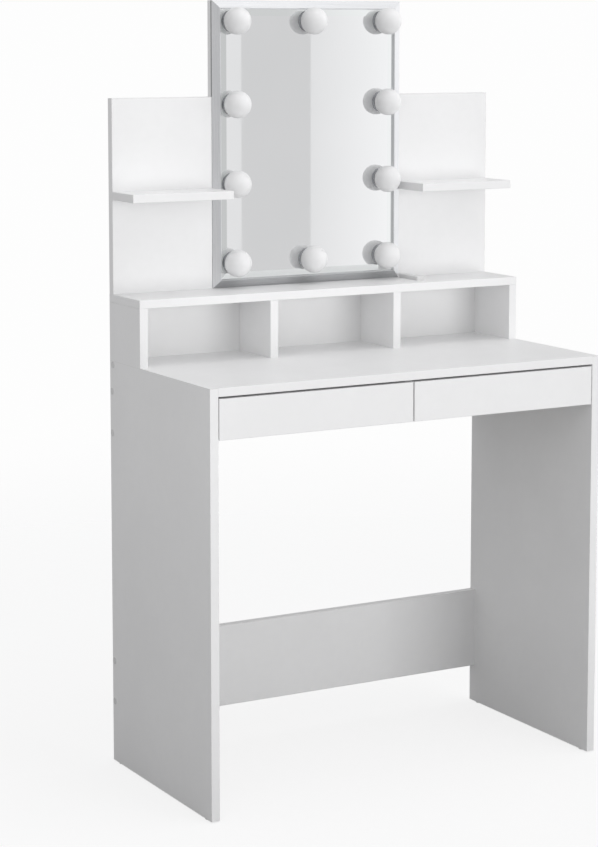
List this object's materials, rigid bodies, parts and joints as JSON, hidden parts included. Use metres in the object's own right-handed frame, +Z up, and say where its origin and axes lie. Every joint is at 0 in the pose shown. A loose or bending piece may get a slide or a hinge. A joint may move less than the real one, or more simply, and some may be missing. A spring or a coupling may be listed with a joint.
{
  "type": "vanity table with mirror",
  "caption": "Narrow dressing table with flush drawers, an open organizer shelf, side shelves and a silver-framed mirror ringed by globe lamps.",
  "frame": {"origin": "on the floor, under the middle of the table's width and depth", "axes": "+Z up, +X to the sitter's right, the front faces -Y"},
  "size_m": [0.8016, 0.392, 1.388],
  "materials": {
    "beech": "plain beech",
    "black_plastic": "fine satin",
    "brass_fittings": "plain brass",
    "circuit_board": "white solder mask",
    "drawer_board": "satin white melamine board",
    "frosted_globe": "frosted opal",
    "hardboard": "white-faced hardboard sheet",
    "lamp_base": "silver metallised",
    "mirror_glass": "silvered glass with a ground bevel",
    "roller_plastic": "turned nylon",
    "runner_steel": "white powder coat",
    "silver_frame": "satin silver foil over a moulded strip",
    "white_board": "satin white melamine board with white edge band",
    "white_plastic": "fine satin",
    "wire_sheath": "white sheath",
    "zinc_steel": "bright zinc plate"
  },
  "bodies": {
    "cabinet": {"back_board_left": "white_board", "back_board_right": "white_board", "cabinet_runners_left": "runner_steel", "cabinet_runners_right": "runner_steel", "cam_bolts": "zinc_steel", "cam_lock_discs": "zinc_steel", "confirmat_screws": "zinc_steel", "desk_top": "white_board", "dimmer_base": "white_plastic", "dimmer_circuit_board": "circuit_board", "dimmer_cover": "white_plastic", "drawer_partition": "white_board", "floor_glides": "white_plastic", "lamp_bases": "lamp_base", "lamp_globes": "frosted_globe", "lamp_led_boards": "circuit_board", "lamp_nuts": "brass_fittings", "lamp_stems": "brass_fittings", "lamp_wiring": "wire_sheath", "left_side_panel": "white_board", "lower_rear_rail": "white_board", "mirror_board": "white_board", "mirror_frame_bottom": "silver_frame", "mirror_frame_left": "silver_frame", "mirror_frame_right": "silver_frame", "mirror_frame_top": "silver_frame", "mirror_glass": "mirror_glass", "organizer_back": "hardboard", "organizer_divider_left": "white_board", "organizer_divider_right": "white_board", "organizer_top": "white_board", "power_inlet": "black_plastic", "right_side_panel": "white_board", "runner_screws": "zinc_steel", "screw_caps": "white_plastic", "shelf_left": "white_board", "shelf_right": "white_board", "upper_rear_rail": "white_board", "wooden_dowels": "beech"},
    "left_cabinet_rollers": {"cabinet_rollers_left": "roller_plastic"},
    "right_cabinet_rollers": {"cabinet_rollers_right": "roller_plastic"},
    "dimmer_button": {"dimmer_button": "white_plastic"},
    "left_drawer": {"left_drawer_back": "drawer_board", "left_drawer_bottom": "hardboard", "left_drawer_front": "white_board", "left_drawer_inner_front": "drawer_board", "left_drawer_runners": "runner_steel", "left_drawer_screws": "zinc_steel", "left_drawer_side_left": "drawer_board", "left_drawer_side_right": "drawer_board"},
    "left_drawer_rollers": {"left_drawer_rollers": "roller_plastic"},
    "right_drawer": {"right_drawer_back": "drawer_board", "right_drawer_bottom": "hardboard", "right_drawer_front": "white_board", "right_drawer_inner_front": "drawer_board", "right_drawer_runners": "runner_steel", "right_drawer_screws": "zinc_steel", "right_drawer_side_left": "drawer_board", "right_drawer_side_right": "drawer_board"},
    "right_drawer_rollers": {"right_drawer_rollers": "roller_plastic"}
  },
  "joints": [
    {"name": "left_drawer_slide", "type": "slide", "parent": "cabinet", "child": "left_drawer", "axis": [0, -1, 0], "range_m": [0, 0.25]},
    {"name": "left_drawer_roller_spin", "type": "hinge", "parent": "left_drawer", "child": "left_drawer_rollers", "pos_m": [-0.196, 0.14, 0.674], "axis": [1, 0, 0], "range_deg": [-20, 1535]},
    {"name": "left_cabinet_roller_spin", "type": "hinge", "parent": "cabinet", "child": "left_cabinet_rollers", "pos_m": [-0.196, -0.16, 0.679], "axis": [1, 0, 0], "range_deg": [-20, 1535]},
    {"name": "right_drawer_slide", "type": "slide", "parent": "cabinet", "child": "right_drawer", "axis": [0, -1, 0], "range_m": [0, 0.25]},
    {"name": "right_drawer_roller_spin", "type": "hinge", "parent": "right_drawer", "child": "right_drawer_rollers", "pos_m": [0.196, 0.14, 0.674], "axis": [1, 0, 0], "range_deg": [-20, 1535]},
    {"name": "right_cabinet_roller_spin", "type": "hinge", "parent": "cabinet", "child": "right_cabinet_rollers", "pos_m": [0.196, -0.16, 0.679], "axis": [1, 0, 0], "range_deg": [-20, 1535]},
    {"name": "dimmer_button_press", "type": "slide", "parent": "cabinet", "child": "dimmer_button", "axis": [0, 0, -1], "range_m": [0, 0.0008], "stiffness_N_per_m": 400}
  ],
  "couplings": [
    {"joint": "left_drawer_roller_spin", "follows": "left_drawer_slide", "rad_per_m": 105.26},
    {"joint": "left_cabinet_roller_spin", "follows": "left_drawer_slide", "rad_per_m": 105.26},
    {"joint": "right_drawer_roller_spin", "follows": "right_drawer_slide", "rad_per_m": 105.26},
    {"joint": "right_cabinet_roller_spin", "follows": "right_drawer_slide", "rad_per_m": 105.26}
  ]
}
